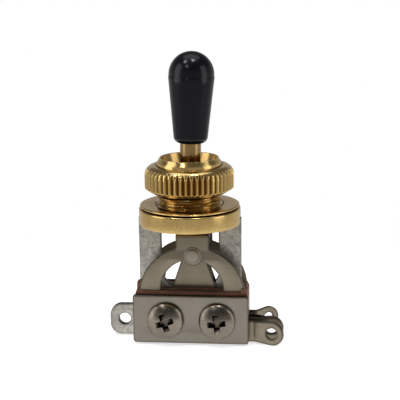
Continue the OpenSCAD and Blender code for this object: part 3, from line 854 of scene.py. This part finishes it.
def lug_outline(bend, eye_x):
    """The right-hand end of a leaf's outline, from the lower to the upper side of the base."""
    low, high = LUG_Z - LUG_NECK_HALF, LUG_Z + LUG_NECK_HALF
    away = Vector((bend + LUG_LAP - eye_x, LUG_NECK_HALF))
    tangent = (atan2(away.y, away.x) - acos(LUG_HEAD_R / away.length)) * 180 / pi
    eye = arc(eye_x, LUG_Z, LUG_HEAD_R, -tangent, tangent)
    return [(BASE_EDGE, low), (bend + LUG_LAP, low)] + eye + [(bend + LUG_LAP, high), (BASE_EDGE, high)]


def arch_gap():
    """Outline of the opening under a leaf's arch, with the lobe that carries the contact."""
    bore = Vector((STACK_X, STACK_TOP))
    lobe = Vector((RIVET_X, RIVET_Z))
    apart = (lobe - bore).length
    towards = degrees(atan2(lobe.y - bore.y, lobe.x - bore.x))
    along = (apart ** 2 + ARCH_BORE_R ** 2 - LOBE_R ** 2) / (2 * apart)
    bore_half = degrees(acos(along / ARCH_BORE_R))
    lobe_half = degrees(acos((apart - along) / LOBE_R))
    right = arc(bore.x, bore.y, ARCH_BORE_R, 0, towards - bore_half)
    under = arc(lobe.x, lobe.y, LOBE_R, towards - 180 + lobe_half, towards - 180 - lobe_half)
    left = arc(bore.x, bore.y, ARCH_BORE_R, towards + bore_half, 180)
    return right + under[1:-1] + left


def leaf_mesh(name, flare, reach):
    """A whole moving leaf: clamped base with its flared lug, arch, tongue and inward tab."""
    fold_r = LEAF_T / 2 + 0.03
    fold_z = LEAF_HIGH.z - LEAF_T / 2 - fold_r
    tip_z = fold_z + fold_r * pi / 2 + LEAF_OUT - LEAF_T / 2 + LEAF_HIGH.y - fold_r
    left_x, right_x = STACK_X - ARCH_FLAT, STACK_X + ARCH_FLAT
    tongue_l, tongue_r = RIVET_X - TONGUE_HALF, RIVET_X + TONGUE_HALF
    foot = degrees(asin((STACK_TOP - ARCH_Z) / ARCH_R))
    right = arc(right_x, ARCH_Z, ARCH_R, foot, degrees(acos((tongue_r - right_x) / ARCH_R)))
    left = arc(left_x, ARCH_Z, ARCH_R, degrees(acos((tongue_l - left_x) / ARCH_R)), 180 - foot)
    tongue = [(tongue_r, tip_z - 0.05), (tongue_r - 0.05, tip_z),
              (tongue_l + 0.05, tip_z), (tongue_l, tip_z - 0.05)]
    outline = [(BASE_LEFT, CLAMP_LOW.z), (BASE_EDGE, CLAMP_LOW.z)]
    outline += lug_outline(LUG_BEND_X, LUG_BEND_X + reach)
    outline += [(BASE_EDGE, STACK_TOP - 0.4)] + right + tongue + left + [(BASE_LEFT, STACK_TOP - 0.4)]
    mesh = plate(name, outline, stack_holes(STACK_HOLE_R) + [(LUG_BEND_X + reach, LUG_Z, LUG_HOLE_R)],
                 LEAF_IN, LEAF_OUT, 0.08, [arch_gap()])
    mid = -(LEAF_IN + LEAF_OUT) / 2
    fold(mesh, (0, mid, fold_z), (0, 0, 1), (0, 1, 0), radians(90), fold_r)
    fold(mesh, (LUG_BEND_X - 0.25, mid, 0), (1, 0, 0), (0, -1, 0), radians(flare), 1.0)
    slice_at(mesh, (0, 0, STACK_TOP), (0, 0, 1), [0.5 * k for k in range(0, 10)])
    return mesh


def make_moving_leaves():
    for side, flare, reach in (("front", 18, LUG_REACH), ("rear", 35, REAR_LUG_REACH)):
        mesh = leaf_mesh(f"{side}_leaf", flare, reach)
        if side == "rear":
            mesh = mirrored(mesh, "rear_leaf")
        leaf = add(f"{side}_moving_leaf", mesh, 32)
        dress(leaf, LEAF, "leaf_metal", None, f"{side}_leaf_terminal", f"{side}_leaf_spring")
        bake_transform(leaf)
        rivet(side)


def rivet(side):
    """Riveted contact: a stepped head outside and a dome inside."""
    ball_r = 1.904
    dome_h = 0.35
    ring_top = LEAF_T + 0.25
    boss_top = LEAF_T + 0.60
    dome = [(ball_r * sin(radians(a)), ball_r - dome_h - ball_r * cos(radians(a))) for a in range(5, 36, 5)]
    profile = [(0, -dome_h)] + dome + [(0.6, 0.0), (0.6, LEAF_T)]
    profile += fillet([(0.6, LEAF_T, 0), (1.55, LEAF_T, 0.05), (1.55, ring_top, 0.12), (1.22, ring_top, 0.04),
                       (1.16, boss_top, 0.22), (0, boss_top, 0)], closed=False)[1:]
    mesh = lathe("rivet", profile, 64)
    place = Matrix.Translation((RIVET_X, -LEAF_IN, RIVET_Z))
    mesh.transform(place @ Matrix.Rotation(radians(90), 4, "X"))
    if side == "rear":
        mesh = mirrored(mesh, "rear_rivet")
    dress(add(f"{side}_rivet", mesh, 35), CONTACT, "contact_metal", f"{side}_leaf", f"{side}_leaf_contact")


def fixed_leaf_mesh(name, eye_x):
    """A flat fixed leaf: base, narrowing tongue and straight lug."""
    top_z = RIVET_Z + 1.05
    base_z = STACK_TOP - 0.1
    outline = [(BASE_LEFT, CLAMP_LOW.z), (BASE_EDGE, CLAMP_LOW.z)]
    outline += lug_outline(LUG_BEND_X, eye_x)
    half_tongue = [(4.05, base_z, 0.3), (1.8, RIVET_Z, 0.5), (1.2, top_z, 0.3)]
    tongue = [(RIVET_X + x, z, r) for x, z, r in half_tongue]
    tongue += [(RIVET_X - x, z, r) for x, z, r in reversed(half_tongue)]
    outline += fillet([(BASE_EDGE, base_z, 0)] + tongue + [(BASE_LEFT, base_z, 0)], closed=False)
    holes = stack_holes(STACK_HOLE_R) + [(eye_x, LUG_Z, LUG_HOLE_R)]
    return plate(name, outline, holes, FIXED_IN, FIXED_OUT, 0.11)


def make_fixed_leaves():
    """The two fixed leaves. The rear one's lug is joggled forward against the front one's."""
    front = fixed_leaf_mesh("front_fixed", LUG_BEND_X + COMMON_LUG_REACH)
    dress(add("front_fixed_blade", front, 32), LEAF, "leaf_metal", "housing", "front_fixed_leaf")
    angle = radians(40)
    fold_r = 0.5
    step = (FIXED_OUT + FIXED_IN) / 2 + FIXED_IN - (FIXED_OUT - FIXED_IN) / 2 - 0.01
    slope = (step - 2 * fold_r * (1 - cos(angle))) / sin(angle)
    used = 2 * fold_r * sin(angle) + slope * cos(angle)
    developed = 2 * fold_r * angle + slope
    first_x = LUG_BEND_X - 0.6
    eye_x = LUG_BEND_X + COMMON_LUG_REACH + developed - used
    mesh = mirrored(fixed_leaf_mesh("rear_fixed", eye_x), "rear_fixed")
    mid = (FIXED_IN + FIXED_OUT) / 2
    second = first_x + fold_r * angle + slope
    fold(mesh, (second, mid, 0), (1, 0, 0), (0, 1, 0), angle, fold_r)
    fold(mesh, (first_x, mid, 0), (1, 0, 0), (0, -1, 0), angle, fold_r)
    dress(add("rear_fixed_blade", mesh, 32), LEAF, "leaf_metal", "housing", "rear_fixed_leaf")
    for side in ("front", "rear"):
        fixed_contact(side)


def fixed_contact(side):
    """The flat silver disc on a fixed leaf."""
    thick = -box_mm("front_fixed_contact")[0].y - FIXED_OUT
    loop = fillet([(0, 0, 0), (1.0, 0, 0), (1.0, thick, 0.1), (0, thick, 0)], closed=False)
    disc = lathe("contact", loop, 48)
    place = Matrix.Translation((RIVET_X, -FIXED_OUT, RIVET_Z))
    disc.transform(place @ Matrix.Rotation(radians(90), 4, "X"))
    if side == "rear":
        disc = mirrored(disc, "rear_disc")
    disc = add(f"{side}_fixed_disc", disc, 35)
    dress(disc, CONTACT, "contact_metal", "housing", f"{side}_fixed_contact")


# ---------------------------------------------------------------- studio

def make_camera():
    """The photograph's viewpoint: a little right of the front and above, with a slight roll."""
    azimuth, elevation, roll = radians(6), radians(13), radians(0.75)
    distance = 200 * MM
    target = Vector((1.9, 0, 0.6)) * MM
    back = Vector((sin(azimuth) * cos(elevation), -cos(azimuth) * cos(elevation), sin(elevation)))
    data = bpy.data.cameras.new("camera")
    data.lens = 99
    data.sensor_width = 36
    data.clip_start = 0.01
    camera = bpy.data.objects.new("camera", data)
    camera.location = target + back * distance
    camera.rotation_mode = "QUATERNION"
    camera.rotation_quaternion = (-back).to_track_quat("-Z", "Y") @ Quaternion((0, 0, 1), -roll)
    bpy.context.scene.collection.objects.link(camera)
    bpy.context.scene.camera = camera


def softbox(name, place, aim, width, height, power, colour=(1, 1, 1)):
    """A rectangular area light at a place, turned towards aim, in metres and watts."""
    data = bpy.data.lights.new(name, "AREA")
    data.shape = "RECTANGLE"
    data.size, data.size_y = width, height
    data.energy = power
    data.color = colour
    light = bpy.data.objects.new(name, data)
    light.location = place
    light.rotation_mode = "QUATERNION"
    light.rotation_quaternion = (Vector(aim) - Vector(place)).to_track_quat("-Z", "Y")
    bpy.context.scene.collection.objects.link(light)


def shade_of(tree, stops):
    """A grey or colour ramp: stops are (position, colour) from 0 to 1."""
    ramp = tree.nodes.new("ShaderNodeValToRGB")
    first, last = ramp.color_ramp.elements
    first.position, first.color = stops[0]
    last.position, last.color = stops[-1]
    for position, colour in stops[1:-1]:
        ramp.color_ramp.elements.new(position).color = colour
    return ramp


def along(tree, place, ramp):
    """Feeds a ramp with a place that runs from -1 to 1."""
    spread = tree.nodes.new("ShaderNodeMapRange")
    spread.inputs["From Min"].default_value = -1
    spread.inputs["From Max"].default_value = 1
    tree.links.new(place, spread.inputs["Value"])
    tree.links.new(spread.outputs["Result"], ramp.inputs["Fac"])


def make_room():
    """White behind everything, and to reflections a grey room that is lightest low down and at the back."""
    world = bpy.data.worlds.new("studio")
    bpy.context.scene.world = world
    world.use_nodes = True
    tree = world.node_tree
    tree.nodes.clear()
    new = tree.nodes.new
    link = tree.links.new
    seen = new("ShaderNodeBackground")
    seen.inputs["Color"].default_value = rgba(1, 1, 1)
    room = new("ShaderNodeBackground")
    walls = shade_of(tree, [(0.0, rgba(0.46, 0.45, 0.435)), (0.20, rgba(0.48, 0.47, 0.455)),
                            (0.55, rgba(0.47, 0.465, 0.455)), (1.0, rgba(0.62, 0.61, 0.60))])
    where = new("ShaderNodeTexCoord")
    split = new("ShaderNodeSeparateXYZ")
    path = new("ShaderNodeLightPath")
    choose = new("ShaderNodeMixShader")
    out = new("ShaderNodeOutputWorld")
    link(where.outputs["Generated"], split.inputs["Vector"])
    dim = shade_of(tree, [(0.0, rgba(1, 1, 1)), (0.47, rgba(1, 1, 1)), (0.52, rgba(0.7, 0.7, 0.7)),
                          (0.62, rgba(0.7, 0.7, 0.7)), (0.72, rgba(0.25, 0.25, 0.25)),
                          (0.90, rgba(0.25, 0.25, 0.25)), (1.0, rgba(0.6, 0.6, 0.6))])
    both = new("ShaderNodeMix")
    both.data_type = "RGBA"
    both.blend_type = "MULTIPLY"
    both.inputs["Factor"].default_value = 1.0
    along(tree, split.outputs["Y"], walls)
    along(tree, split.outputs["Z"], dim)
    link(walls.outputs["Color"], both.inputs[6])
    link(dim.outputs["Color"], both.inputs[7])
    link(both.outputs[2], room.inputs["Color"])
    link(path.outputs["Is Camera Ray"], choose.inputs["Fac"])
    link(room.outputs["Background"], choose.inputs[1])
    link(seen.outputs["Background"], choose.inputs[2])
    link(choose.outputs["Shader"], out.inputs["Surface"])


def make_floor():
    """A round sheet of plain pale paper under the object."""
    bm = bmesh.new()
    bmesh.ops.create_circle(bm, cap_ends=True, segments=96, radius=0.075)
    floor = bpy.data.objects.new("floor", from_bmesh("floor", bm))
    floor.location.z = CAD_BOX[0].z
    bpy.context.scene.collection.objects.link(floor)
    n = Nodes("floor_paper")
    colour = n.mix(n.spread(n.noise(0.02, 3), 0, 1), rgba(0.93, 0.93, 0.93), rgba(0.91, 0.91, 0.91))
    floor.data.materials.append(n.set(Base_Color=colour, Roughness=0.9, Emission_Color=rgba(1, 1, 1),
                                      Emission_Strength=0.62))


def make_lights():
    """Two softboxes at the sides, one above, and small lamps that mark the tip's dome."""
    middle = (0, 0, 0)
    softbox("left_box", (-0.28, -0.10, 0.10), middle, 0.18, 0.30, 0.30)
    softbox("right_box", (0.30, -0.08, 0.08), middle, 0.16, 0.30, 0.22)
    softbox("top_box", (0, 0.06, 0.34), middle, 0.30, 0.20, 0.22)
    dome = DOME * MM
    lamp_size = 0.032
    lamp_away = 0.2
    lamps = [((-0.395, -0.258, 0.883), 0.065), ((0.148, -0.183, 0.973), 0.07),
             ((-0.271, -0.667, 0.694), 0.022)]
    for k, (direction, power) in enumerate(lamps):
        softbox(f"lamp_{k}", dome + Vector(direction) * lamp_away, dome, lamp_size, lamp_size, power)


def make_studio():
    make_room()
    make_floor()
    make_lights()
    bpy.context.scene.view_settings.view_transform = "Standard"


make_camera()
make_tip()
make_shaft()
make_roller()
make_bushing()
make_nut()
make_washer()
make_frame()
make_clamps()
make_insulators()
make_screws()
make_moving_leaves()
make_fixed_leaves()
make_studio()
